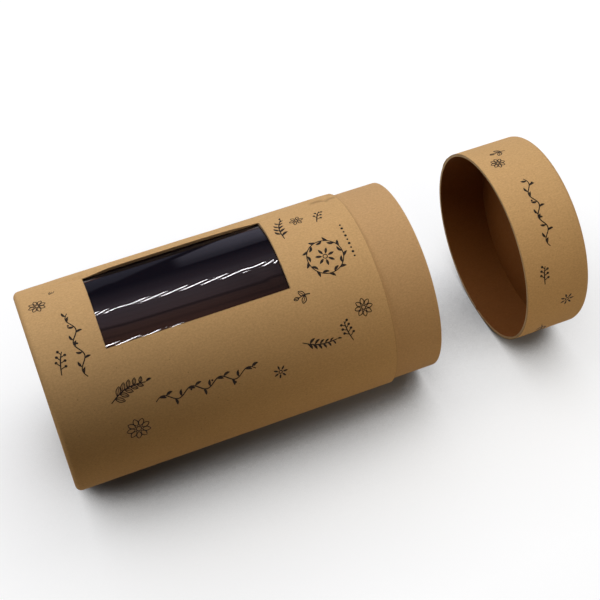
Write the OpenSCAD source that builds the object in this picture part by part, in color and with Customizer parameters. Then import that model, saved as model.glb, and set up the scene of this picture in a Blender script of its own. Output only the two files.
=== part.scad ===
// Rolled-rim paper gift tube with a film window, laid on its side with the lid taken off.
// The tube's axis runs along X from the base to the lid, the window faces up (+Z),
// and the origin lies on the surface that it rests on, under the middle of the whole length.

/* [Tube] */
// Outer diameter over the wrap
tube_d = 83; // [76:0.5:110]
// Length from the base rim to the shoulder
tube_len = 135; // [112:1:240]
// Thickness of the outer tube's board
board_t = 1; // [0.8:0.1:1.4]
// Thickness of the kraft wrap
wrap_t = 0.2; // [0.1:0.05:0.3]
// Radius of the rolled rim's round corners
rim_r = 2.5; // [2.3:0.1:4]
// Width of the flat land pressed on the rolled rim
rim_land = 1; // [0.5:0.1:3]

/* [Neck and liner] */
// Length of the neck that stands out of the shoulder
neck_len = 20; // [12:1:40]
// Thickness of the liner tube's board
liner_t = 1; // [0.9:0.1:1.6]

/* [Window] */
// Distance from the base rim to the window
window_start = 26.5; // [18:0.5:30]
// Length of the window along the tube
window_len = 73.5; // [30:0.5:75]
// Width of the window measured round the wrap
window_arc = 40.5; // [20:0.5:50]
// Radius of the window's corners
window_corner_r = 0.5; // [0.5:0.5:6]
// How much further the liner is cut back behind the window, on each side
liner_margin = 1.5; // [0.5:0.5:3]
// Thickness of the window film
film_t = 0.2; // [0.1:0.05:0.25]
// How far the film runs past the window, on each side
film_lap = 6; // [5:0.5:7]
// Thickness of the adhesive tape that holds the film
tape_t = 0.1; // [0.05:0.05:0.1]
// Distance from the window to the tape
tape_inset = 1.5; // [1:0.5:3]

/* [Ends] */
// Thickness of the board disc in each end
disc_t = 2.5; // [0.8:0.1:3]
// Thickness of the paper on both faces of a disc
facing_t = 0.2; // [0.1:0.05:0.4]

/* [Lid] */
// Radial clearance between the neck and the lid
lid_clearance = 0.15; // [0.1:0.05:0.2]
// Room between the neck's end and the lid's inside when the lid's mouth meets the shoulder
lid_headroom = 0.8; // [0.5:0.1:4]
// Distance from the neck's end to the lid's mouth, as the lid lies beside the tube
lid_gap = 38; // [30:0.5:90]

/* [Seams] */
// Width of the wrap's lap seam
seam_w = 8; // [4:0.5:14]
// How far above the rolled rim the lap seam starts
seam_setback = 1; // [0.5:0.5:4]
// Where the tube's seam lies, in degrees from the top towards the back
tube_seam_at = 56; // [48:1:70]
// Where the lid's seam lies, in degrees from the top towards the back
lid_seam_at = 64; // [48:1:70]

/* [Hidden] */
$fn = 180;

// Glue line between neighbouring layers
glue_t = 0.05;
// How far the window's pocket clears the film's edge
pocket_clearance = 0.3;

tube_r = tube_d / 2;
board_r = tube_r - wrap_t - glue_t;
board_in_r = board_r - board_t;
neck_r = board_in_r;
liner_r = board_in_r - glue_t;
liner_in_r = liner_r - liner_t;
lid_bore_r = neck_r + lid_clearance;
lid_board_t = board_r - lid_bore_r;

tape_r = board_in_r - glue_t;
film_r = tape_r - tape_t - glue_t;
pocket_r = film_r - film_t - glue_t;

bead_r = rim_r - wrap_t - glue_t;
bead_at = tube_r - rim_r;
facing_z = rim_r + bead_r + glue_t;
disc_z = facing_z + facing_t;
lining_z = disc_z + disc_t;
inside_z = lining_z + facing_t;
base_disc_r = board_in_r - glue_t;
lid_disc_r = lid_bore_r;
lid_seat_r = lid_disc_r + glue_t;

lid_len = neck_len + lid_headroom + inside_z;
lid_depth = lid_len - inside_z;
overall_len = tube_len + neck_len + lid_gap + lid_len;
window_w = 2 * tube_r * sin(window_arc / tube_r * 90 / PI);
seam_turn = seam_w / tube_r * 180 / PI;

kraft = [0.74, 0.6, 0.41];
inner_kraft = [0.58, 0.43, 0.28];
grey_board = [0.55, 0.5, 0.43];
clear_film = [0.7, 0.75, 0.8, 0.4];
tape_white = [0.9, 0.9, 0.86];

// Lays a piece modelled upright on its base along X, with its -X side turned up
module lay() {
    translate([-overall_len / 2, 0, tube_r])
        rotate([0, 90, 0])
            children();
}

// Turns a piece modelled with the lid's top at zero into the lid's place
module in_lid() {
    translate([0, 0, overall_len])
        mirror([0, 0, 1])
            children();
}

// Section of the rolled rim: two round corners joined by the flat land
module bead(r) {
    translate([bead_at, rim_r])
        circle(r);
    translate([bead_at - rim_land, rim_r])
        circle(r);
    translate([bead_at - rim_land, rim_r - r])
        square([rim_land, 2 * r]);
}

// Section of a board roll, open on the side that faces the disc and the wall
module board_roll(t) {
    difference() {
        bead(bead_r);
        bead(bead_r - t);
        translate([bead_at - rim_land, rim_r])
            square([rim_land + rim_r, rim_r]);
    }
}

// Wrap of a tube of the given length, tucked over its rolled rim, with its lap seam
module wrap(len, seam_at) {
    rotate_extrude() {
        translate([tube_r - wrap_t, rim_r])
            square([wrap_t, len - rim_r]);
        difference() {
            bead(rim_r);
            bead(rim_r - wrap_t);
            translate([bead_at - rim_land - rim_r, rim_r])
                square([2 * rim_r + rim_land, rim_r]);
        }
    }
    rotate([0, 0, 180 - seam_at - seam_turn / 2])
        rotate_extrude(angle = seam_turn)
            translate([tube_r - wrap_t / 2, rim_r + seam_setback])
                square([wrap_t * 3 / 2, len - rim_r - seam_setback]);
}

// Disc of the given radius and thickness that starts at z
module disc(r, t, z) {
    translate([0, 0, z])
        cylinder(r = r, h = t);
}

// Outline of the window along the tube and across it, wider by grow on each side
module window_outline(grow) {
    r = window_corner_r + grow;
    len = window_len + 2 * grow;
    w = window_w + 2 * grow;
    translate([window_start - grow, 0]) {
        for (x = [r, len - r], y = [r - w / 2, w / 2 - r])
            translate([x, y])
                circle(r);
        translate([r, -w / 2])
            square([len - 2 * r, w]);
        translate([0, r - w / 2])
            square([len, w - 2 * r]);
    }
}

// The window's outline punched straight up from the tube's axis
module window_punch(grow) {
    rotate([0, -90, 0])
        linear_extrude(tube_d)
            window_outline(grow);
}

// Curved sheet under the window: a shell of the tube's own curve cut to the window's outline
module window_sheet(r, t, grow) {
    intersection() {
        translate([0, 0, window_start - grow])
            difference() {
                cylinder(r = r, h = window_len + 2 * grow);
                translate([0, 0, -grow])
                    cylinder(r = r - t, h = window_len + 4 * grow);
            }
        window_punch(grow);
    }
}

module outer_wrap() {
    color(kraft)
        lay()
            difference() {
                wrap(tube_len, tube_seam_at);
                window_punch(0);
            }
}

module outer_tube() {
    color(inner_kraft)
        lay()
            difference() {
                rotate_extrude() {
                    translate([board_in_r, rim_r])
                        square([board_t, tube_len - rim_r]);
                    board_roll(board_t);
                }
                window_punch(0);
            }
}

module liner_tube() {
    start = inside_z + glue_t;
    color(inner_kraft)
        lay()
            difference() {
                rotate_extrude() {
                    translate([liner_in_r, start])
                        square([liner_t, tube_len - start]);
                    translate([liner_in_r, tube_len])
                        square([neck_r - liner_in_r, neck_len]);
                }
                window_punch(liner_margin);
                window_sheet(board_in_r, board_in_r - pocket_r, film_lap + pocket_clearance);
            }
}

module film_tape() {
    color(tape_white)
        lay()
            difference() {
                window_sheet(tape_r, tape_t, film_lap);
                window_punch(tape_inset);
            }
}

module window_film() {
    color(clear_film)
        lay()
            window_sheet(film_r, film_t, film_lap);
}

module base_facing() {
    color(kraft)
        lay()
            disc(base_disc_r, facing_t, facing_z);
}

module base_disc() {
    color(grey_board)
        lay()
            disc(base_disc_r, disc_t, disc_z);
}

module base_lining() {
    color(inner_kraft)
        lay()
            disc(base_disc_r, facing_t, lining_z);
}

module lid_wrap() {
    color(kraft)
        lay()
            in_lid()
                wrap(lid_len, lid_seam_at);
}

module lid_tube() {
    color(inner_kraft)
        lay()
            in_lid()
                rotate_extrude() {
                    translate([lid_bore_r, inside_z])
                        square([lid_board_t, lid_depth]);
                    translate([lid_seat_r, rim_r])
                        square([board_r - lid_seat_r, inside_z - rim_r]);
                    board_roll(lid_board_t);
                }
}

module lid_lining() {
    color(inner_kraft)
        lay()
            in_lid()
                disc(lid_disc_r, facing_t, lining_z);
}

module lid_disc() {
    color(grey_board)
        lay()
            in_lid()
                disc(lid_disc_r, disc_t, disc_z);
}

module lid_facing() {
    color(kraft)
        lay()
            in_lid()
                disc(lid_disc_r, facing_t, facing_z);
}

outer_wrap();
outer_tube();
liner_tube();
film_tape();
window_film();
base_facing();
base_disc();
base_lining();
lid_wrap();
lid_tube();
lid_lining();
lid_disc();
lid_facing();
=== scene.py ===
# Kraft paper gift tube with a film window, lying on its side beside its lid.
import bpy, bmesh, math
from mathutils import Vector, Euler, Matrix, noise


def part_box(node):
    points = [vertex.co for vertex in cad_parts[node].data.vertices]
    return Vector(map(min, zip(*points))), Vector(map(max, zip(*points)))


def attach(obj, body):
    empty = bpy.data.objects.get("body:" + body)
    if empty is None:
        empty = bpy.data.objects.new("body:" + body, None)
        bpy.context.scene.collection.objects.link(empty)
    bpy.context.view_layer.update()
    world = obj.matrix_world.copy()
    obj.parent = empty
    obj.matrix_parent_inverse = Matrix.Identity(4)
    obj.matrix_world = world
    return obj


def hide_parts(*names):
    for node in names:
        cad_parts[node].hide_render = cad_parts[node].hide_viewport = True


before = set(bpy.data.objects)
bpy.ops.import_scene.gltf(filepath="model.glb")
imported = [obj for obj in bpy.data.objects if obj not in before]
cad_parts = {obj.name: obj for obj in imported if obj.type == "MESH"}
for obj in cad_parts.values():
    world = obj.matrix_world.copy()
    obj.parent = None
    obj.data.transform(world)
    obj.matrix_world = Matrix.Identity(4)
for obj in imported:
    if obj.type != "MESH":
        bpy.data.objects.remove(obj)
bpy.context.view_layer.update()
mm = 0.001
print("frame loaded")

# Places that the CAD model gives
wrapLow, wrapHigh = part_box("outer_wrap")
linerLow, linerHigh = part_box("liner_tube")
lidLow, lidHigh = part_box("lid_wrap")
tubeRadius = (wrapHigh.y - wrapLow.y) / 2
neckRadius = (linerHigh.y - linerLow.y) / 2
axisHeight = tubeRadius
baseX = wrapLow.x
shoulderX = wrapHigh.x
lidTopX = lidHigh.x
boreRadius = (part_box("lid_disc")[1].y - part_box("lid_disc")[0].y) / 2
turnLength = 2 * math.pi * tubeRadius

# Papers and boards that both ends share
stock = {
    "wrapThickness": 0.2 * mm,
    "boardThickness": 1.0 * mm,
    "glue": 0.05 * mm,
    "rimRadius": 2.5 * mm,
    "rimLand": 1.0 * mm,
    "inkSink": 0.03 * mm,      # the wrap lies this far below the CAD surface, for the ink
    "aroundStep": 1.8 * mm,
    "alongStep": 2.5 * mm,
    "wearBand": 0.35 * mm,     # how far an edge is worn
}
uvScale = 10                   # the sheets' UVs are in tenths of a metre
tiny = 1e-7


# Small helpers
def smooth(edge0, edge1, value):
    t = min(max((value - edge0) / (edge1 - edge0), 0), 1)
    return t * t * (3 - 2 * t)


def plateau(edges, value):
    # Rises between the first two edges and falls between the last two
    return smooth(edges[0], edges[1], value) * smooth(edges[3], edges[2], value)


def onTube(x, around, radius):
    # around is measured on the wrap from the top line, towards the back
    angle = around / tubeRadius
    return Vector((x, radius * math.sin(angle), axisHeight + radius * math.cos(angle)))


def spaced(low, high, step):
    count = max(1, math.ceil((high - low) / step - 0.001))
    return [low + (high - low) * i / count for i in range(1, count)]


def meshObject(name, bm, material):
    mesh = bpy.data.meshes.new(name)
    bm.to_mesh(mesh)
    bm.free()
    piece = bpy.data.objects.new(name, mesh)
    bpy.context.scene.collection.objects.link(piece)
    mesh.materials.append(material)
    return piece


def cutPlane(bm, geometry, point, normal):
    bmesh.ops.bisect_plane(bm, geom=geometry, dist=tiny, plane_co=point, plane_no=normal)


def everything(bm):
    return bm.verts[:] + bm.edges[:] + bm.faces[:]


def cutHole(bm, low, high, corner, steps=4):
    # low and high are the hole's corners on the sheet; its round corners are cut as chords
    middle = (low + high) / 2
    for point, normal in ((low, (1, 0, 0)), (high, (1, 0, 0)), (low, (0, 1, 0)), (high, (0, 1, 0))):
        cutPlane(bm, everything(bm), point, normal)

    def holeFace():
        return min(bm.faces, key=lambda face: (face.calc_center_median() - middle).length)

    for sideX in (-1, 1):
        for sideY in (-1, 1):
            centre = Vector(((high if sideX > 0 else low).x - sideX * corner,
                             (high if sideY > 0 else low).y - sideY * corner, 0))
            for i in range(steps):
                a, b = (math.pi / 2 * (i + k) / steps for k in (0, 1))
                first = centre + Vector((sideX * math.cos(a), sideY * math.sin(a), 0)) * corner
                second = centre + Vector((sideX * math.cos(b), sideY * math.sin(b), 0)) * corner
                along = second - first
                face = holeFace()
                cutPlane(bm, [face] + face.edges[:] + face.verts[:], first, (along.y, -along.x, 0))
    bmesh.ops.delete(bm, geom=[holeFace()], context="FACES_ONLY")


def rolledSheet(name, alongRange, aroundRange, place, material, hole=None, alongLines=(), aroundLines=(),
                closed=False, alongStep=None, aroundStep=None, paintedCreaseShadow=None):
    # Cuts a flat sheet, keeps its flat coordinates as UVs, rolls it up with place() and gives it its wall
    bm = bmesh.new()
    bmesh.ops.create_grid(bm, x_segments=1, y_segments=1, size=0.5)
    (s0, s1), (u0, u1) = alongRange, aroundRange
    bmesh.ops.scale(bm, vec=(s1 - s0, u1 - u0, 1), verts=bm.verts)
    bmesh.ops.translate(bm, vec=((s0 + s1) / 2, (u0 + u1) / 2, 0), verts=bm.verts)
    if hole:
        low, high, corner = hole
        cutHole(bm, low, high, corner)
        alongLines = list(alongLines) + [low.x - stock["wearBand"], high.x + stock["wearBand"]]
        aroundLines = list(aroundLines) + [low.y - stock["wearBand"], high.y + stock["wearBand"]]
    for s in sorted(list(alongLines) + spaced(s0, s1, alongStep or stock["alongStep"])):
        cutPlane(bm, everything(bm), (s, 0, 0), (1, 0, 0))
    for u in sorted(list(aroundLines) + spaced(u0, u1, aroundStep or stock["aroundStep"])):
        cutPlane(bm, everything(bm), (0, u, 0), (0, 1, 0))
    uv = bm.loops.layers.uv.new("sheet")
    along = bm.verts.layers.float.new("along")
    around = bm.verts.layers.float.new("around")
    wear = bm.verts.layers.float.new("wear")
    inner = bm.verts.layers.float.new("inner")
    creaseShadowMask = bm.verts.layers.float.new("paintedCreaseShadow")
    for face in bm.faces:
        for loop in face.loops:
            loop[uv].uv = loop.vert.co.xy * uvScale
    for vert in bm.verts:
        vert[along], vert[around] = vert.co.x, vert.co.y
        onJoin = closed and min(abs(vert.co.y - u0), abs(vert.co.y - u1)) < tiny
        vert[wear] = 1 if vert.is_boundary and not onJoin else 0
        vert[creaseShadowMask] = paintedCreaseShadow(vert.co.x, vert.co.y) if paintedCreaseShadow else 0
    for vert in bm.verts:
        vert.co = place(vert[along], vert[around], 0)
    if closed:
        bmesh.ops.remove_doubles(bm, verts=bm.verts, dist=10 * tiny)
    outer = set(bm.verts)
    bmesh.ops.extrude_face_region(bm, geom=bm.faces[:], use_keep_orig=True)
    for vert in bm.verts:
        if vert not in outer:
            vert.co = place(vert[along], vert[around], 1)
            vert[inner] = 1
    bmesh.ops.recalc_face_normals(bm, faces=bm.faces)
    for face in bm.faces:
        face.smooth = True
    for edge in bm.edges:
        if edge.is_manifold and edge.calc_face_angle() > math.radians(35):
            edge.smooth = False
    return meshObject(name, bm, material)


# Materials
def nodeMaterial(name):
    material = bpy.data.materials.new(name)
    material.use_nodes = True
    nodes, links = material.node_tree.nodes, material.node_tree.links
    return material, nodes, links, nodes["Principled BSDF"]


def addNode(nodes, kind, inputs=None, **settings):
    node = nodes.new(kind)
    for key, value in settings.items():
        setattr(node, key, value)
    for key, value in (inputs or {}).items():
        node.inputs[key].default_value = value
    return node


def joinInputs(links, sockets, values):
    for socket, value in zip(sockets, values):
        if isinstance(value, bpy.types.NodeSocket):
            links.new(value, socket)
        else:
            socket.default_value = value


def mixColour(nodes, links, factor, first, second):
    mix = addNode(nodes, "ShaderNodeMix", data_type="RGBA")
    joinInputs(links, (mix.inputs[0], mix.inputs[6], mix.inputs[7]), (factor, first, second))
    return mix.outputs[2]


def maths(nodes, links, operation, *values):
    node = addNode(nodes, "ShaderNodeMath", operation=operation)
    joinInputs(links, node.inputs, values)
    return node.outputs[0]


def ramp(nodes, links, source, low, high, valueLow=0.0, valueHigh=1.0):
    mapRange = addNode(nodes, "ShaderNodeMapRange", interpolation_type="SMOOTHSTEP",
                       inputs={"From Min": low, "From Max": high, "To Min": valueLow, "To Max": valueHigh})
    links.new(source, mapRange.inputs["Value"])
    return mapRange.outputs[0]


def colourRamp(nodes, links, source, stops):
    levels = addNode(nodes, "ShaderNodeValToRGB")
    links.new(source, levels.inputs["Fac"])
    for i, (at, colour) in enumerate(stops):
        elements = levels.color_ramp.elements
        element = elements[i] if i < 2 else elements.new(1.0)
        element.position = at
        element.color = (*colour, 1)
    return levels.outputs["Color"]


def seenDirectly(nodes, links, *kinds):
    # 1 for a ray of one of these kinds
    rays = addNode(nodes, "ShaderNodeLightPath")
    result = rays.outputs[kinds[0]]
    for kind in kinds[1:]:
        result = maths(nodes, links, "MAXIMUM", result, rays.outputs[kind])
    return result


def shaded(colour, factor):
    return tuple(min(channel * factor, 1) for channel in colour[:3]) + (1,)


paperLook = {
    "mottleSize": 14 * mm,
    "cloudSize": 2.2 * mm,
    "toothSize": 0.7 * mm,
    "fibreLength": 2.4 * mm,
    "fibreWidth": 0.25 * mm,
    "grainSize": 0.2 * mm,
    "specks": (                # spacing, size in spacings, shade, strength
        (4.2 * mm, 0.05, 0.35, 0.6),
        (1.89 * mm, 0.06, 0.6, 0.4),
        (2.94 * mm, 0.04, 1.5, 0.4),
    ),
    "roughness": 0.8,
    "roughnessSpread": 0.06,
    "specular": 0.2,
    "bumpHeight": 0.04 * mm,
    "creaseShadowFactor": 0.62,
}


def paperMaterial(name, colour, edgeColour, sheetUv=True, fibres=0.15, specks=1.0, bump=0.35, wearShare=0.5,
                  innerShadeColour=None):
    material, nodes, links, shader = nodeMaterial(name)
    if sheetUv:
        coordinates = addNode(nodes, "ShaderNodeUVMap", uv_map="sheet").outputs[0]
        unit = uvScale
    else:
        coordinates = addNode(nodes, "ShaderNodeTexCoord").outputs["Object"]
        unit = 1

    def noiseAt(size, stretch=(1, 1, 1), detail=3.0, roughness=0.55, turn=0.0):
        mapping = addNode(nodes, "ShaderNodeMapping", inputs={"Scale": stretch, "Rotation": (0, 0, turn)})
        links.new(coordinates, mapping.inputs[0])
        texture = addNode(nodes, "ShaderNodeTexNoise",
                          inputs={"Scale": 1 / (size * unit), "Detail": detail, "Roughness": roughness})
        links.new(mapping.outputs[0], texture.inputs["Vector"])
        return texture.outputs["Fac"]

    look = paperLook
    slender = look["fibreWidth"] / look["fibreLength"]
    mottle = noiseAt(look["mottleSize"], detail=2.0)
    cloud = noiseAt(look["cloudSize"], (0.6, 1, 1), detail=3.0)
    fibreA = noiseAt(look["fibreWidth"], (slender, 1, 1), turn=0.35)
    fibreB = noiseAt(look["fibreWidth"], (1, slender, 1), turn=-0.2)
    grain = noiseAt(look["grainSize"], detail=2.0, roughness=0.7)
    tooth = noiseAt(look["toothSize"], (0.7, 1, 1), detail=3.0, roughness=0.75)
    tone = mixColour(nodes, links, ramp(nodes, links, mottle, 0.3, 0.7), shaded(colour, 0.985),
                     shaded(colour, 1.015))
    layers = (                 # noise, where it starts and ends, share there, shade
        (cloud, 0.35, 0.7, 0, 0.25, 0.88),
        (tooth, 0.35, 0.55, 0.55, 0, 0.8),
        (tooth, 0.5, 0.7, 0, 0.5, 1.18),
        (fibreA, 0.55, 0.8, 0, fibres * 2.2, 0.62),
        (fibreB, 0.56, 0.8, 0, fibres * 2.2, 1.4),
        (grain, 0.35, 0.75, 0, fibres, 0.75),
    )
    for source, low, high, lowShare, highShare, shade in layers:
        share = ramp(nodes, links, source, low, high, lowShare, highShare)
        tone = mixColour(nodes, links, share, tone, shaded(colour, shade))
    for spacing, size, shade, strength in look["specks"]:
        spots = addNode(nodes, "ShaderNodeTexVoronoi", inputs={"Scale": 1 / (spacing * unit)})
        links.new(coordinates, spots.inputs["Vector"])
        near = ramp(nodes, links, spots.outputs["Distance"], size * 0.4, size * 1.6, strength * specks, 0)
        tone = mixColour(nodes, links, near, tone, shaded(colour, shade))
    # painted shade: the inner face takes the darker inside colour
    if innerShadeColour:
        inner = addNode(nodes, "ShaderNodeAttribute", attribute_name="inner")
        tone = mixColour(nodes, links, inner.outputs["Fac"], tone, shaded(innerShadeColour, 1))
    # painted shadow along the wrinkle's crease: the paper's colour is darkened where this attribute is set
    creaseShadowMask = addNode(nodes, "ShaderNodeAttribute", attribute_name="paintedCreaseShadow")
    tone = mixColour(nodes, links, maths(nodes, links, "MULTIPLY", creaseShadowMask.outputs["Fac"], 0.9), tone,
                     shaded(colour, look["creaseShadowFactor"]))
    wear = addNode(nodes, "ShaderNodeAttribute", attribute_name="wear")
    frayed = maths(nodes, links, "MULTIPLY", wear.outputs["Fac"],
                   ramp(nodes, links, grain, 0.2, 0.55, 0.4 * wearShare, wearShare))
    tone = mixColour(nodes, links, frayed, tone, shaded(edgeColour, 1))
    links.new(tone, shader.inputs["Base Color"])
    links.new(ramp(nodes, links, cloud, 0.2, 0.8, look["roughness"] - look["roughnessSpread"],
                   look["roughness"] + look["roughnessSpread"]), shader.inputs["Roughness"])
    shader.inputs["Specular IOR Level"].default_value = look["specular"]
    height = maths(nodes, links, "ADD", ramp(nodes, links, fibreA, 0.56, 0.78), grain)
    bumpNode = addNode(nodes, "ShaderNodeBump", inputs={"Strength": bump, "Distance": look["bumpHeight"]})
    links.new(height, bumpNode.inputs["Height"])
    links.new(bumpNode.outputs[0], shader.inputs["Normal"])
    return material


colours = {
    "kraft": (0.535, 0.333, 0.148),
    "neck": (0.50, 0.308, 0.144),
    # painted shade: the inside is given a much darker, redder colour than its kraft, for the shade inside the
    # tube and the lid
    "inside": (0.243, 0.088, 0.020),
    "cutEdge": (0.20, 0.12, 0.055),
    "boardEdge": (0.60, 0.43, 0.25),
    "greyBoard": (0.34, 0.30, 0.24),
    "tape": (0.75, 0.74, 0.70),
    "ink": (0.012, 0.010, 0.009),
    "wornInk": (0.11, 0.07, 0.04),
    # painted shade: the film is near-black and mostly opaque on its outer face, for the dark inside behind
    # the window; the film itself is clear
    "film": (0.004, 0.004, 0.006),
    "dust": (0.2, 0.18, 0.15),
}
kraftWrap = paperMaterial("kraftWrap", colours["kraft"], colours["cutEdge"])
neckBoard = paperMaterial("neckBoard", colours["neck"], colours["boardEdge"], specks=0.7,
                          innerShadeColour=colours["inside"])
tubeBoardPaintedShade = paperMaterial("tubeBoardPaintedShade", colours["inside"], colours["boardEdge"], specks=0.6, wearShare=0.9)
facingPaper = paperMaterial("facingPaper", colours["kraft"], colours["cutEdge"], sheetUv=False)
liningPaperPaintedShade = paperMaterial("liningPaperPaintedShade", colours["inside"], colours["cutEdge"], sheetUv=False)
greyBoard = paperMaterial("greyBoard", colours["greyBoard"], colours["greyBoard"], sheetUv=False,
                          specks=1.5)
tapePaper = paperMaterial("tapePaper", colours["tape"], colours["tape"], sheetUv=False, fibres=0.05,
                          specks=0.1)


def inkMaterial():
    material, nodes, links, shader = nodeMaterial("printInk")
    place = addNode(nodes, "ShaderNodeTexCoord").outputs["Object"]
    texture = addNode(nodes, "ShaderNodeTexNoise", inputs={"Scale": 1 / (0.35 * mm), "Detail": 3.0})
    links.new(place, texture.inputs["Vector"])
    tone = mixColour(nodes, links, ramp(nodes, links, texture.outputs["Fac"], 0.56, 0.72),
                     shaded(colours["ink"], 1), shaded(colours["wornInk"], 1))
    links.new(tone, shader.inputs["Base Color"])
    links.new(ramp(nodes, links, texture.outputs["Fac"], 0.3, 0.7, 0.6, 0.8), shader.inputs["Roughness"])
    shader.inputs["Specular IOR Level"].default_value = 0.25
    return material


def filmMaterial():
    material, nodes, links, shader = nodeMaterial("shadeDarkenedFilm")
    place = addNode(nodes, "ShaderNodeUVMap", uv_map="sheet").outputs[0]
    texture = addNode(nodes, "ShaderNodeTexNoise", inputs={"Scale": 14.0, "Detail": 2.0, "Roughness": 0.4})
    links.new(place, texture.inputs["Vector"])
    dust = addNode(nodes, "ShaderNodeTexVoronoi", inputs={"Scale": 60.0})
    links.new(place, dust.inputs["Vector"])
    tone = mixColour(nodes, links, ramp(nodes, links, dust.outputs["Distance"], 0.02, 0.07, 0.3, 0),
                     shaded(colours["film"], 1), shaded(colours["dust"], 1))
    links.new(tone, shader.inputs["Base Color"])
    links.new(ramp(nodes, links, texture.outputs["Fac"], 0.3, 0.7, 0.01, 0.035), shader.inputs["Roughness"])
    # painted shade: the outer face is mostly opaque over the dark inside, and the inner face is fully clear
    inner = addNode(nodes, "ShaderNodeAttribute", attribute_name="inner")
    links.new(ramp(nodes, links, inner.outputs["Fac"], 0.1, 0.9, 0.88, 0.0), shader.inputs["Alpha"])
    shader.inputs["IOR"].default_value = 1.55
    return material


printInk = inkMaterial()
shadeDarkenedFilm = filmMaterial()
print("materials made")


window = {
    "start": 26.5 * mm,        # from the base rim
    "length": 73.5 * mm,
    "arc": 40.5 * mm,
    "corner": 0.5 * mm,
    "edgeStep": 0.6 * mm,      # how close the sheet's lines are beside its long edges
    "lift": 0.15 * mm,         # how far the free back edge stands up at its middle
    "liftReach": 9 * mm,
    "swell": 0.2 * mm,         # how far the whole wall behind it bulges
    "swellAlong": (4 * mm, 20 * mm, 68 * mm, 90 * mm),
    "swellAround": (13 * mm, 19 * mm, 35 * mm, 46 * mm),
    "crush": (0.95 * mm, 0.6 * mm),    # how far the back corners are pressed in
    "crushReach": (13 * mm, 3 * mm),
    "skew": 0.7 * mm,          # how far its back edge is cut out of square
    "skewReach": 9 * mm,
    "skewAround": (2 * mm, 10 * mm),
    "straightened": (1 * mm, 5 * mm),  # beside its long edges the wall is punched straight
    "insideLift": 0.9,         # how far the wall's inside follows its outside
}
seam = {
    "at": 56,                  # degrees from the top towards the back
    "lidAt": 64,
    "width": 8 * mm,
    "step": 1.2 * mm,          # how far round the top layer takes to come down
    "rise": 3 * mm,            # how far along the wall it takes to come up from the rim
    "pressed": 0.65,
}
wrinkle = {
    "length": 16 * mm,         # from the shoulder
    "height": 0.25 * mm,
    "from": 29.5,              # degrees from the top towards the back
    "to": 53,
    "waves": ((1.2, 1.9, 0.6), (0.5, 0.8, 0)),    # its front's waves: degrees, length in mm, start
    "pleat": 0.07 * mm,
    "foldAt": 26.2,
    "foldHeight": 0.2 * mm,
    "foldWidth": 0.9,
    # where the painted crease shadow lies, and how wide it is
    "creaseShadowAt": 28.2,
    "creaseShadowWidth": 1.5,
    "lines": (16.5 * mm, 27 * mm, 0.3 * mm),      # the sheet's lines round it: from, to, step
    "alongStep": 0.5 * mm,
}
rimSteps = 8                   # lines across each quarter of a rolled rim


# Rolled rims and walls. A section gives the distance from the end plane and the radius for a
# place along the sheet: positive places run along the wall, negative ones round the rim.
def rimSection(roll, turn):
    centreX = stock["rimRadius"]
    centreR = tubeRadius - stock["inkSink"] - stock["rimRadius"]
    quarter = roll * math.pi / 2
    land = stock["rimLand"]

    def section(s, inset):
        r = roll - inset
        if s >= 0:
            return centreX + s, centreR + r
        if -s <= quarter:
            return centreX - r * math.sin(-s / roll), centreR + r * math.cos(-s / roll)
        if -s <= quarter + land:
            return centreX - r, centreR - (-s - quarter)
        b = (-s - quarter - land) / roll
        return centreX - r * math.cos(b), centreR - land - r * math.sin(b)

    start = -(roll * turn + land)
    lines = [-quarter * i / rimSteps for i in range(rimSteps + 1)]
    rolledIn = [-quarter - land - quarter * i / rimSteps for i in range(2 * rimSteps)]
    return section, start, lines + [line for line in rolledIn if line > start]


wrapRoll = stock["rimRadius"]
boardRoll = stock["rimRadius"] - stock["wrapThickness"] - stock["glue"]
halfArc = window["arc"] / 2
besideEdge = spaced(halfArc - 3 * mm, halfArc + 3.2 * mm, window["edgeStep"])
windowLow = Vector((window["start"] - stock["rimRadius"], -halfArc, 0))
windowHigh = windowLow + Vector((window["length"], window["arc"], 0))


def windowShape(s, u):
    # The cut wall's back edge stands up a little in its middle, and its two corners are pressed in
    t = (s - windowLow.x) / window["length"]
    lift = 0
    if 0 < t < 1 and u > 0:
        lift = window["lift"] * math.sin(math.pi * t) ** 0.7
        lift *= smooth(halfArc + window["liftReach"], halfArc, u)
    lift += window["swell"] * plateau(window["swellAlong"], s) * plateau(window["swellAround"], u)
    reachAlong, reachAround = window["crushReach"]
    for cornerX, depth in zip((windowLow.x, windowHigh.x), window["crush"]):
        far = math.hypot((s - cornerX) / reachAlong, (u - halfArc) / reachAround)
        lift -= depth * smooth(1, 0, far)
    return lift


def windowSkew(s, u):
    # The back edge lies a little nearer the shoulder than the front edge
    beside = max(windowLow.x - s, s - windowHigh.x, 0)
    full, end = window["skewAround"]
    across = plateau((-halfArc, halfArc, halfArc + full, halfArc + end), u)
    return window["skew"] * across * smooth(window["skewReach"], 0, beside)


def topLayer(u, start):
    # 1 on the lap's top layer, which starts here, and 0 past it
    return smooth(start + seam["width"] + seam["step"], start + seam["width"], u)


def lapDepth(s, u, depth, start):
    # On the rim the lap's two layers are pressed into the paper's own thickness
    pressed = seam["pressed"] * smooth(seam["rise"], 0, s)
    under = smooth(start + turnLength - seam["step"], start + turnLength, u)
    return depth * (1 - pressed * topLayer(u, start)) + (1 - depth) * pressed * under


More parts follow.
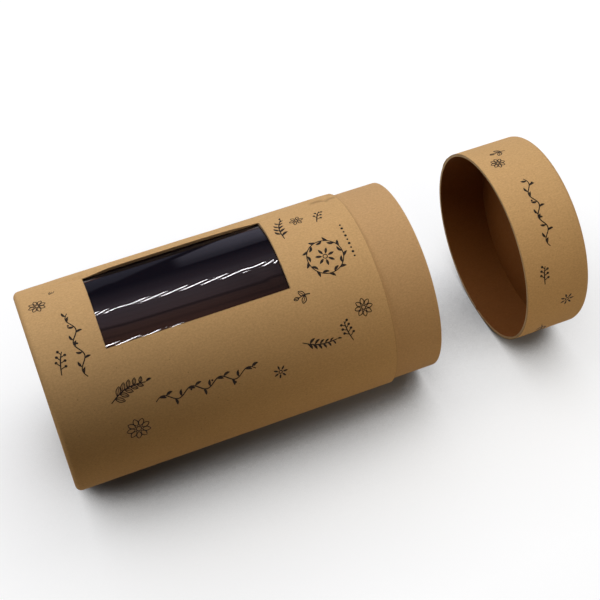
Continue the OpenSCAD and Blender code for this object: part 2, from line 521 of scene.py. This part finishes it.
def wrinkleLift(fromEdge, u):
    # A loose, crumpled place in the wrap beside the shoulder
    if fromEdge > wrinkle["length"]:
        return 0
    t = fromEdge / mm
    angle = math.degrees(u / tubeRadius) % 360
    end = wrinkle["to"]
    front = wrinkle["from"] + 0.16 * (t - 5)
    for height, length, phase in wrinkle["waves"]:
        front += height * math.sin(t / length + phase)
    reach = smooth(wrinkle["length"], wrinkle["length"] * 0.55, fromEdge) * (0.35 + 0.65 * smooth(0, 3.5, t))
    rise = plateau((front - 0.6, front + 0.6, 36, end), angle)
    pleats = math.sin(angle * 1.5 + t * 0.9) * plateau((front, front + 2, 44, end), angle)
    foldAway = (angle - wrinkle["foldAt"] - 0.3 * (5 - t)) / wrinkle["foldWidth"]
    fold = wrinkle["foldHeight"] * math.exp(-foldAway ** 2) * plateau((3, 5, 5.5, 8), t)
    return reach * (wrinkle["height"] * rise + wrinkle["pleat"] * pleats) + fold


def creaseShadowTone(fromEdge, u):
    # Painted shadow: a darker line along the wrinkle's crease, standing in for the shade its fold throws
    t = fromEdge / mm
    angle = math.degrees(u / tubeRadius) % 360
    centre = wrinkle["creaseShadowAt"] + 0.15 * (t - 3) - 2.6 * math.exp(-((t - 5) / 1.2) ** 2)
    away = (angle - centre) / wrinkle["creaseShadowWidth"]
    return math.exp(-away ** 2) * plateau((0.3, 1.4, 10, 12.5), t)


def wrapPiece(name, endX, direction, length, seamAt, hole, wrinkled):
    section, start, lines = rimSection(wrapRoll, math.pi)
    first = math.radians(seamAt) * tubeRadius - seam["width"] / 2
    last = first + turnLength + seam["width"]
    wallEnd = length - stock["rimRadius"]

    def place(s, u, depth):
        x, r = section(s, lapDepth(s, u, depth, first) * stock["wrapThickness"])
        if s > 0:
            r += smooth(0, seam["rise"], s) * stock["wrapThickness"] * topLayer(u, first)
            if wrinkled:
                r += wrinkleLift(wallEnd - s, u)
            if hole:
                r += windowShape(s, u - turnLength)
                x += windowSkew(s, u - turnLength)
        return onTube(endX + direction * x, u, r)

    shifted = None
    steps = (first + seam["width"], first + turnLength - seam["step"])
    fine = [edge + seam["step"] * i / 4 for edge in steps for i in range(5)]
    fineAlong = lines + [wallEnd - stock["wearBand"]]
    if hole:
        turn = Vector((0, turnLength, 0))
        shifted = (hole[0] + turn, hole[1] + turn, hole[2])
        fine += [turnLength + line for line in besideEdge]
    if wrinkled:
        low, high, step = wrinkle["lines"]
        alongStep = wrinkle["alongStep"]
        fineAlong += spaced(wallEnd - wrinkle["length"], wallEnd - alongStep, alongStep)
        fine += spaced(turnLength + low, turnLength + high, step)
    # painted crease shadow: how strongly each place of the wrap is darkened along the wrinkle
    paintedCreaseShadow = (lambda s, u: creaseShadowTone(wallEnd - s, u)) if wrinkled else None
    return rolledSheet(name, (start, wallEnd), (first, last), place, kraftWrap, hole=shifted,
                       alongLines=fineAlong, aroundLines=fine, paintedCreaseShadow=paintedCreaseShadow)


def tubePiece(name, endX, direction, length, thickness, hole):
    section, start, lines = rimSection(boardRoll, math.pi * 1.45)
    wallEnd = length - stock["rimRadius"]

    def place(s, u, depth):
        x, r = section(s, depth * thickness)
        if hole and s > 0:
            x += windowSkew(s, u)
            if depth == 0:
                r += windowShape(s, u)
            else:
                # the window is punched straight down, so its long walls stay as far from the middle
                full, end = window["straightened"]
                near = smooth(halfArc + end, halfArc + full, abs(u))
                flat = boardTop * math.sin(u / tubeRadius)
                straight = math.asin(max(-1, min(1, flat / r))) * tubeRadius
                r += window["insideLift"] * max(0, windowShape(s, u))
                u += near * (straight - u)
        return onTube(endX + direction * x, u, r)

    boardTop = section(1, 0)[1]
    half = math.pi * tubeRadius
    return rolledSheet(name, (start, wallEnd), (-half, half), place, tubeBoardPaintedShade, hole=hole,
                       alongLines=lines + [wallEnd - stock["wearBand"]], closed=True,
                       aroundLines=besideEdge if hole else ())


tubeLength = shoulderX - baseX
outerWrap = wrapPiece("outerWrap", baseX, 1, tubeLength, seam["at"],
                      (windowLow, windowHigh, window["corner"]), True)
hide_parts("outer_wrap")
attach(outerWrap, "tube")
print("outer wrap rolled")

outerTube = tubePiece("outerTube", baseX, 1, tubeLength, stock["boardThickness"],
                      (windowLow, windowHigh, window["corner"]))
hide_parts("outer_tube")
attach(outerTube, "tube")
print("outer tube rolled")

lidLength = lidTopX - lidLow.x
lidWrap = wrapPiece("lidWrap", lidTopX, -1, lidLength, seam["lidAt"], None, False)
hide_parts("lid_wrap")
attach(lidWrap, "lid")
lidWall = tubeRadius - stock["wrapThickness"] - stock["glue"] - boreRadius
lidTube = tubePiece("lidTube", lidTopX, -1, lidLength, lidWall, None)
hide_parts("lid_tube")
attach(lidTube, "lid")
print("lid rolled")

liner = {
    "wall": 1.0 * mm,
    "margin": 1.5 * mm,        # how far it is cut back behind the window
    "dent": 0.4 * mm,          # how far it is pressed in under the film
    "dentEdge": 1.5 * mm,
    "filmLap": 6 * mm,
    "step": 0.2 * mm,          # how long its step at the shoulder is
}


def linerPiece():
    length = linerHigh.x - linerLow.x
    offset = linerLow.x - baseX
    low = windowLow + Vector((stock["rimRadius"] - offset - liner["margin"], -liner["margin"], 0))
    high = windowHigh + Vector((stock["rimRadius"] - offset + liner["margin"], liner["margin"], 0))
    neckStart = shoulderX - linerLow.x

    def place(s, u, depth):
        reach = liner["filmLap"] - liner["margin"] + 0.5 * mm
        away = max(low.x - s, s - high.x, low.y - u, u - high.y)
        dent = liner["dent"] * smooth(reach + liner["dentEdge"], reach, away)
        under = stock["glue"] * (1 - smooth(neckStart - liner["step"], neckStart, s))
        return onTube(linerLow.x + s, u, neckRadius - dent - under - depth * (liner["wall"] - under))

    half = math.pi * tubeRadius
    lines = [neckStart - liner["step"], neckStart, length - stock["wearBand"]]
    return rolledSheet("linerTube", (0, length), (-half, half), place, neckBoard,
                       hole=(low, high, window["corner"] + liner["margin"]), alongLines=lines, closed=True)


linerTube = linerPiece()
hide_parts("liner_tube")
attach(linerTube, "tube")
print("liner rolled")

film = {
    "radius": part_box("window_film")[1].z - axisHeight,
    "thickness": 0.2 * mm,
    "sink": 0.02 * mm,
    "sag": 0.12 * mm,
    "sagReach": 14 * mm,
    "ripple": 0.0002 * mm,
    "waves": ((13 * mm, 11 * mm, 1.7, 1), (5 * mm, 9 * mm, 4.2, 0.4)),    # size along, round, place, share
}


def filmPiece():
    lap = liner["filmLap"]
    low = windowLow + Vector((stock["rimRadius"] - lap, -lap, 0))
    high = windowHigh + Vector((stock["rimRadius"] + lap, lap, 0))

    def place(s, u, depth):
        inside = min(s - low.x - lap, high.x - lap - s, u - low.y - lap, high.y - lap - u)
        wave = 0
        for sizeAlong, sizeAround, height, share in film["waves"]:
            wave += share * noise.noise(Vector((s / sizeAlong, u / sizeAround, height)))
        sag = smooth(0, film["sagReach"], inside) * (film["sag"] + film["ripple"] * wave)
        return onTube(baseX + s, u, film["radius"] - film["sink"] - sag - depth * film["thickness"])

    return rolledSheet("windowFilm", (low.x, high.x), (low.y, high.y), place, shadeDarkenedFilm,
                       alongStep=1.0 * mm, aroundStep=0.8 * mm)


windowFilm = filmPiece()
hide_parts("window_film")
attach(windowFilm, "tube")
print("film laid")

for node, material in (("film_tape", tapePaper), ("base_facing", facingPaper), ("base_disc", greyBoard),
                       ("base_lining", liningPaperPaintedShade), ("lid_lining", liningPaperPaintedShade), ("lid_disc", greyBoard),
                       ("lid_facing", facingPaper)):
    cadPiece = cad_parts[node]
    cadPiece.data.materials.clear()
    cadPiece.data.materials.append(material)
print("discs finished")


# Print: plain botanical line drawings. A stroke is a list of (x, y, width) in mm.
ink = {
    "line": 0.5,
    "fine": 0.4,
    "top": tubeRadius / mm - 0.01,       # radius of its face and of its underside
    "bottom": tubeRadius / mm - 0.043,
}


def stroke(path, width, count):
    return [(*path(i / count), width(i / count)) for i in range(count + 1)]


def evenLine(width):
    return lambda t: width * (0.75 + 0.25 * math.sin(math.pi * t))


def leafShape(width):
    return lambda t: width * math.sin(math.pi * t) ** 0.8 if 0 < t < 1 else 0


def moved(strokes, x=0, y=0, turn=0, scale=1):
    c, s = math.cos(math.radians(turn)) * scale, math.sin(math.radians(turn)) * scale
    return [[(x + c * px - s * py, y + s * px + c * py, w * math.sqrt(scale)) for px, py, w in line]
            for line in strokes]


def filledLeaf(length, width, bend=0.12):
    return [stroke(lambda t: (length * t, bend * length * math.sin(math.pi * t)), leafShape(width), 8)]


def openLeaf(length, width):
    sides = [stroke(lambda t, side=side: (length * t, side * width / 2 * math.sin(math.pi * t) ** 0.85),
                    evenLine(ink["fine"]), 10) for side in (-1, 1)]
    return sides + [stroke(lambda t: (length * t * 0.85, 0), evenLine(ink["fine"] * 0.8), 4)]


def ring(radius, width, count=24):
    return [stroke(lambda t: (radius * math.cos(2 * math.pi * t), radius * math.sin(2 * math.pi * t)),
                   lambda t: width, count)]


def dot(radius):
    return [stroke(lambda t: (radius * (2 * t - 1), 0),
                   lambda t: 2 * radius * math.sqrt(max(0, 1 - (2 * t - 1) ** 2)), 8)]


def sprig(length, leaves, leafLength, bend=0.1, filled=True):
    def stem(t):
        return length * t, bend * length * math.sin(math.pi * t)
    lines = [stroke(stem, evenLine(ink["line"]), 14)]
    for i in range(leaves):
        t = 0.14 + 0.8 * i / leaves
        size = leafLength * (1 - 0.45 * t)
        leaf = filledLeaf(size, size * 0.34) if filled else openLeaf(size, size * 0.42)
        lines += moved(leaf, *stem(t), turn=(48 if i % 2 else -48) + 20 * bend)
    return lines + moved(filledLeaf(leafLength * 0.6, leafLength * 0.22), *stem(1))


def daisy(radius, petals, filled=False):
    lines = ring(radius * 0.22, ink["fine"], 12)
    for i in range(petals):
        petal = openLeaf(radius * 0.72, radius * 0.42)[:2]
        if filled:
            petal = filledLeaf(radius * 0.7, radius * 0.26, 0)
        lines += moved(moved(petal, x=radius * 0.3), turn=360 * i / petals)
    return lines


def berryTwig(length, berries):
    def stem(t):
        return length * t, 0.08 * length * math.sin(2.4 * t)
    lines = [stroke(stem, evenLine(ink["line"]), 10)]
    for i in range(berries):
        t = 0.25 + 0.75 * i / berries
        x, y = stem(t)
        acrossTo = (1 if i % 2 else -1) * length * 0.2 * (1.1 - 0.4 * t)
        alongTo = abs(acrossTo) * 0.7
        lines += moved([stroke(lambda k: (alongTo * k, acrossTo * k), evenLine(ink["fine"]), 3)], x, y)
        lines += moved(dot(0.55), x + alongTo, y + acrossTo)
    return lines


def wreath(radius, leaves):
    lines = []
    for i in range(leaves):
        at = 360 * i / leaves
        spot = Vector((radius, 0)) @ Matrix.Rotation(-math.radians(at), 2)
        lines += moved(filledLeaf(radius * 0.42, radius * 0.15), spot.x, spot.y,
                       turn=at + (62 if i % 2 else 118))
    return lines + ring(radius, ink["fine"], 40)


def garland(length, waves, height, leafLength):
    def stem(t):
        return length * (t - 0.5), height / 2 * math.sin(2 * math.pi * waves * t)
    lines = [stroke(stem, evenLine(ink["line"]), int(14 * waves))]
    count = int(waves * 4)
    for i in range(count):
        t = (i + 0.5) / count
        climb = math.pi * waves * height * math.cos(2 * math.pi * waves * t)
        slope = math.degrees(math.atan2(climb, length))
        leaf = filledLeaf(leafLength, leafLength * 0.36)
        lines += moved(leaf, *stem(t), turn=slope + (50 if i % 2 else -50))
        if i % 3 == 1:
            x, y = stem(t + 0.4 / count)
            lines += moved(dot(0.42), x, y + (1.3 if i % 2 else -1.3))
    return lines


def sprout(height):
    lines = [stroke(lambda t: (0.1 * height * math.sin(3 * t), height * t), evenLine(ink["line"]), 8)]
    for side in (-1, 1):
        lines += moved(openLeaf(height * 0.7, height * 0.36), 0, height * 0.45, turn=90 - side * 52)
    return lines + moved(openLeaf(height * 0.5, height * 0.26), 0.02 * height, height, turn=90)


def dotRow(count, gap):
    lines = []
    for i in range(count):
        lines += moved(dot(0.4 + 0.15 * (i % 2)), (i - count / 2) * gap)
    return lines


# Each line: drawing, distance from the base rim or the lid's mouth in mm, degrees from the top
# towards the back, turn, scale. Turn 0 runs along the tube, 90 runs round it.
tubeDrawings = [
    (garland(27, 2.5, 2.6, 2.6), 17, -20, 90, 1),
    (daisy(3.4, 8), 7.5, 11, 10, 1),
    (sprout(5.2), 17.5, 21, 80, 0.85),
    (berryTwig(9, 6), 8, -34, 70, 1),
    (wreath(7.2, 18), 117.5, -17, 0, 1),
    (daisy(4.2, 7, True), 117.5, -17, 12, 0.95),
    (sprig(13, 9, 3.6), 106, 2, 78, 1),
    (daisy(2.8, 6), 114, 14, 0, 1),
    (berryTwig(8, 5), 121, 7, 60, 0.9),
    (dotRow(9, 1.9), 128.5, -10, 90, 1),
    (sprout(4.6), 106.5, -34, 95, 1),
    (garland(40, 3.5, 3.2, 3.0), 58, -63, 0, 1),
    (sprig(15, 10, 4.2, 0.12, False), 22, -56, 15, 1),
    (daisy(4.6, 9), 29, -75, 20, 1),
    (daisy(3.0, 7, True), 87, -70, 0, 1),
    (sprig(14, 11, 3.4, -0.1), 98, -58, -12, 1),
    (berryTwig(9, 7), 118, -66, 100, 1),
    (daisy(3.6, 8), 125, -50, 0, 1),
    (garland(60, 5, 3.2, 3.0), 66, 150, 0, 1),
    (wreath(9, 22), 30, 118, 0, 1),
    (sprig(22, 14, 4.2), 98, 108, 20, 1),
    (daisy(5, 9), 116, 150, 0, 1),
    (sprig(20, 12, 4.5, 0.1, False), 40, 205, -10, 1),
    (berryTwig(12, 8), 92, 210, 30, 1),
]
lidDrawings = [
    (garland(30, 3, 2.4, 2.6), 13, -30, 90, 1),
    (daisy(3.0, 8), 8, 8, 0, 1),
    (sprout(4.6), 15, 18, 90, 1),
    (berryTwig(8, 6), 8, -72, 80, 1),
    (daisy(3.2, 7, True), 18, -88, 0, 1),
    (sprig(18, 10, 3.6), 9, -108, -90, 1),
    (garland(44, 4, 2.6, 2.8), 12, 140, 90, 1),
    (wreath(6, 16), 13, 205, 0, 1),
]


def printPiece(name, drawings, zeroX):
    bm = bmesh.new()
    around = bm.verts.layers.float.new("around")
    for drawing, x, degrees, turn, scale in drawings:
        for line in moved(drawing, x, math.radians(degrees) * tubeRadius / mm, turn, scale):
            count = len(line) - 1
            grid = bmesh.ops.create_grid(bm, x_segments=count, y_segments=1, size=1)
            for vert in grid["verts"]:
                i = round((vert.co.x + 1) / 2 * count)
                before, after = Vector(line[max(i - 1, 0)][:2]), Vector(line[min(i + 1, count)][:2])
                ahead = (after - before).normalized()
                side = vert.co.y * line[i][2] / 2
                vert.co = (line[i][0] - ahead.y * side, line[i][1] + ahead.x * side, 0)
    bmesh.ops.remove_doubles(bm, verts=bm.verts, dist=1e-5)
    flat = set(bm.verts)
    for vert in bm.verts:
        vert[around] = vert.co.y
    bmesh.ops.extrude_face_region(bm, geom=bm.faces[:], use_keep_orig=True)
    for vert in bm.verts:
        radius = ink["top"] if vert in flat else ink["bottom"]
        vert.co = onTube(zeroX + vert.co.x * mm, vert[around] * mm, radius * mm)
    bmesh.ops.recalc_face_normals(bm, faces=bm.faces)
    return meshObject(name, bm, printInk)


tubePrint = printPiece("tubePrint", tubeDrawings, baseX)
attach(tubePrint, "tube")
lidPrint = printPiece("lidPrint", lidDrawings, lidLow.x)
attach(lidPrint, "lid")
print("print laid on")

# Camera at the photograph's place
view = {
    "lens": 78.07, "sensor": 36, "place": (-0.10992, -0.33651, 0.44972),
    "tilt": 41.147, "roll": 3.062, "turn": -21.432,
}
cameraData = bpy.data.cameras.new("photoCamera")
cameraData.lens = view["lens"]
cameraData.sensor_width = view["sensor"]
camera = bpy.data.objects.new("photoCamera", cameraData)
camera.location = view["place"]
camera.rotation_euler = Euler([math.radians(view[key]) for key in ("tilt", "roll", "turn")])
bpy.context.scene.collection.objects.link(camera)
bpy.context.scene.camera = camera

# Studio: a pale floor, a large soft panel in two parts, a warm lamp at the front right, and two
# rows of lamps that show only in gloss
studio = {
    "floorSize": 6.0,
    "floorSeen": (0.25, 0.255, 0.265, 1),
    "floorBounce": (0.54, 0.45, 0.30, 1),    # what the floor throws back on the papers
    "floorPaintedGlow": 0.8,
    "shadowReach": 0.09,
    # the painted shadow on the floor's glow
    "shadow": (                              # how open the floor is, and how light it looks there
        (0.30, 0.0), (0.36, 0.05), (0.42, 0.20), (0.50, 0.46), (0.65, 0.72), (0.76, 0.84), (1.0, 0.98),
    ),
    "fill": (0.015, 0.014, 0.013, 1),
    "panels": (                              # size, place, power, colour
        ((2.0, 0.45), (-0.06, 0.225, 0.859), 8.1, (1.0, 0.97, 0.92)),
        ((2.0, 0.75), (-0.06, 0.825, 0.859), 10.9, (0.97, 1.01, 1.12)),
    ),
    "sidePlace": (0.175, -0.49, 0.385),
    "sideAim": (0.075, 0, 0.0415),
    "sideCone": 28,
    "sidePower": 5.8,
    "sideColour": (1.0, 0.88, 0.70),
    "sideSize": 0.1,
}


def floorMaterial():
    material, nodes, links, shader = nodeMaterial("studioFloor")
    place = addNode(nodes, "ShaderNodeTexCoord").outputs["Object"]
    texture = addNode(nodes, "ShaderNodeTexNoise", inputs={"Scale": 9.0, "Detail": 2.0})
    links.new(place, texture.inputs["Vector"])
    tone = mixColour(nodes, links, ramp(nodes, links, texture.outputs["Fac"], 0.3, 0.7),
                     studio["floorSeen"], shaded(studio["floorSeen"], 0.97))
    # Painted light and painted shadow: to camera, gloss and transmission rays the floor glows, and the glow
    # is darkened by how open the floor is, which paints a shadow round the tube and lid besides the lamps'
    # own
    openness = addNode(nodes, "ShaderNodeAmbientOcclusion", inputs={"Distance": studio["shadowReach"]},
                       samples=16)
    shadow = colourRamp(nodes, links, openness.outputs["AO"],
                        [(at, (level, level, level)) for at, level in studio["shadow"]])
    seen = seenDirectly(nodes, links, "Is Camera Ray", "Is Glossy Ray", "Is Transmission Ray")
    tone = mixColour(nodes, links, seen, studio["floorBounce"], tone)
    links.new(tone, shader.inputs["Base Color"])
    shader.inputs["Roughness"].default_value = 0.9
    shader.inputs["Specular IOR Level"].default_value = 0.1
    shader.inputs["Emission Color"].default_value = (1, 1, 1, 1)
    paintedGlow = maths(nodes, links, "MULTIPLY", seen, studio["floorPaintedGlow"])
    links.new(maths(nodes, links, "MULTIPLY", paintedGlow, shadow), shader.inputs["Emission Strength"])
    return material


bm = bmesh.new()
bmesh.ops.create_grid(bm, x_segments=1, y_segments=1, size=studio["floorSize"] / 2)
floor = meshObject("studioFloor", bm, floorMaterial())

lamps = []
for size, place, power, colour in studio["panels"]:
    panelData = bpy.data.lights.new("softPanel", "AREA")
    panelData.shape = "RECTANGLE"
    panelData.size, panelData.size_y = size
    panelData.energy = power
    panelData.color = colour
    lamps.append(bpy.data.objects.new("softPanel", panelData))
    lamps[-1].location = place
sideData = bpy.data.lights.new("sideLamp", "SPOT")
sideData.spot_size = math.radians(studio["sideCone"])
sideData.spot_blend = 1
sideData.energy = studio["sidePower"]
sideData.color = studio["sideColour"]
sideData.shadow_soft_size = studio["sideSize"]
sideLamp = bpy.data.objects.new("sideLamp", sideData)
sideLamp.location = studio["sidePlace"]
towardsAim = Vector(studio["sideAim"]) - sideLamp.location
sideLamp.rotation_euler = towardsAim.to_track_quat("-Z", "Y").to_euler()
for lamp in lamps + [sideLamp]:
    lamp.visible_glossy = False
    lamp.visible_camera = False
    bpy.context.scene.collection.objects.link(lamp)

lampRow = {
    "count": 10,
    "rows": ((0.004, 0.863), (-0.012, -0.345)),      # where each row's first lamp is
    "step": (0.0333, -0.0271),
    "height": 1.54,
    "size": (0.130, 0.009),
    "turn": 67,
    "colour": (1, 0.95, 0.97, 1),
    "strength": 42.0,
}


def lampMaterial():
    material, nodes, links, shader = nodeMaterial("lampGlow")
    shader.inputs["Base Color"].default_value = (0, 0, 0, 1)
    shader.inputs["Emission Color"].default_value = lampRow["colour"]
    shader.inputs["Emission Strength"].default_value = lampRow["strength"]
    return material


bm = bmesh.new()
lampTurn = Matrix.Rotation(math.radians(lampRow["turn"]), 3, "Z")
for startX, startY in lampRow["rows"]:
    for i in range(lampRow["count"]):
        grid = bmesh.ops.create_grid(bm, x_segments=1, y_segments=1, size=0.5)
        bmesh.ops.scale(bm, vec=(*lampRow["size"], 1), verts=grid["verts"])
        bmesh.ops.rotate(bm, cent=(0, 0, 0), matrix=lampTurn, verts=grid["verts"])
        lampPlace = (startX + i * lampRow["step"][0], startY + i * lampRow["step"][1], lampRow["height"])
        bmesh.ops.translate(bm, vec=lampPlace, verts=grid["verts"])
lampBars = meshObject("lampBars", bm, lampMaterial())
lampBars.visible_camera = lampBars.visible_diffuse = lampBars.visible_shadow = False
lampBars.visible_transmission = lampBars.visible_volume_scatter = False

# The room that the film mirrors, by the angle over the tube in degrees, from the front to the back
room = {
    "bands": (
        (70, (0.70, 0.28, 0.18)),            # warm front wall
        (95, (0.68, 0.37, 0.30)),
        (101, (0.75, 0.50, 0.52)),           # ceiling
        (122, (0.66, 0.54, 0.65)),
        (131, (0.30, 0.22, 0.28)),           # dark back
        (145, (0.08, 0.065, 0.10)),
        (150, (0.03, 0.022, 0.05)),
        (185, (0.015, 0.01, 0.02)),
    ),
    "beams": ((86.5, 2.8, 0.31), (98.0, 3.1, 0.58)),     # dark lines: place, half width, depth
    "slantFrom": 0.06,                       # where the bands start to slant, and by how much
    "slant": 30.0,
    "rightShade": 0.45,
    "leftWall": (0.16, 0.155, 0.215, 1),
    "leftEdge": (0.070, 157, 0.0031),        # how far right it reaches at an angle, and its slant
    "rightWall": (0.52, 0.50, 0.64, 1),
    "rightEdge": (0.121, 167, 0.003),
    "wallTop": (175.5, 182),
}
world = bpy.data.worlds.new("studioWorld")
bpy.context.scene.world = world
world.use_nodes = True
worldNodes, worldLinks = world.node_tree.nodes, world.node_tree.links


def worldMaths(operation, *values):
    return maths(worldNodes, worldLinks, operation, *values)


def worldRamp(*values):
    return ramp(worldNodes, worldLinks, *values)


direction = addNode(worldNodes, "ShaderNodeSeparateXYZ")
worldLinks.new(addNode(worldNodes, "ShaderNodeTexCoord").outputs["Generated"], direction.inputs[0])
sideways = direction.outputs["X"]
angle = worldMaths("ARCTAN2", direction.outputs["Z"], worldMaths("MULTIPLY", direction.outputs["Y"], -1.0))
degrees = worldMaths("MULTIPLY", angle, 180 / math.pi)
slantAway = worldMaths("MAXIMUM", worldMaths("SUBTRACT", sideways, room["slantFrom"]), 0.0)
slanted = worldMaths("MULTIPLY_ADD", slantAway, room["slant"], degrees)
lowest, highest = room["bands"][0][0], room["bands"][-1][0]
share = addNode(worldNodes, "ShaderNodeMapRange", inputs={"From Min": lowest, "From Max": highest})
worldLinks.new(slanted, share.inputs["Value"])
levels = colourRamp(worldNodes, worldLinks, share.outputs[0],
                    [((at - lowest) / (highest - lowest), level) for at, level in room["bands"]])
streaks = addNode(worldNodes, "ShaderNodeTexNoise", noise_dimensions="1D",
                  inputs={"Scale": 0.5, "Detail": 3.0})
worldLinks.new(degrees, streaks.inputs["W"])
rightDim = worldMaths("MULTIPLY", worldRamp(sideways, 0.12, 0.21, 0, room["rightShade"]),
                      worldRamp(degrees, 112, 126, 1, 0))
dim = worldMaths("MULTIPLY", worldRamp(streaks.outputs["Fac"], 0.3, 0.7, 0.88, 1.08),
                 worldMaths("SUBTRACT", 1.0, rightDim))
for at, halfWidth, depth in room["beams"]:
    away = worldMaths("ABSOLUTE", worldMaths("SUBTRACT", slanted, at))
    dim = worldMaths("MULTIPLY", dim, worldRamp(away, 0, halfWidth, 1 - depth, 1))
mirrored = mixColour(worldNodes, worldLinks, dim, (0, 0, 0, 1), levels)
# the two walls behind: a dim one on the left and a lighter one on the right, each with a slanted edge
wallTop = worldRamp(degrees, *room["wallTop"], 1, 0.3)
reach, start, slant = room["leftEdge"]
leftEdge = worldMaths("SUBTRACT", worldMaths("MULTIPLY_ADD", degrees, slant, reach - start * slant), sideways)
leftShare = worldMaths("MULTIPLY", worldMaths("MULTIPLY", worldRamp(leftEdge, -0.006, 0.01), wallTop),
                       worldRamp(degrees, 151, 161))
reach, start, slant = room["rightEdge"]
pastStart = worldMaths("MAXIMUM", worldMaths("SUBTRACT", degrees, start), 0.0)
rightEdge = worldMaths("SUBTRACT", sideways, worldMaths("MULTIPLY_ADD", pastStart, slant, reach))
rightLevel = worldMaths("ADD", worldRamp(degrees, 147.5, 151, 0, 0.5), worldRamp(degrees, 150, 164, 0, 0.5))
rightShare = worldMaths("MULTIPLY", worldMaths("MULTIPLY", worldRamp(rightEdge, -0.003, 0.008), wallTop),
                        worldMaths("MULTIPLY", rightLevel, worldRamp(sideways, 0.12, 0.21, 0.62, 1.0)))
mirrored = mixColour(worldNodes, worldLinks, leftShare, mirrored, room["leftWall"])
mirrored = mixColour(worldNodes, worldLinks, rightShare, mirrored, room["rightWall"])
glossy = seenDirectly(worldNodes, worldLinks, "Is Glossy Ray")
straight = seenDirectly(worldNodes, worldLinks, "Is Camera Ray", "Is Transmission Ray")
worldTone = mixColour(worldNodes, worldLinks, glossy, studio["fill"], mirrored)
worldTone = mixColour(worldNodes, worldLinks, straight, worldTone, (1, 1, 1, 1))
worldLinks.new(worldTone, worldNodes["Background"].inputs["Color"])
print("studio set")

bpy.context.scene.view_settings.view_transform = "Standard"
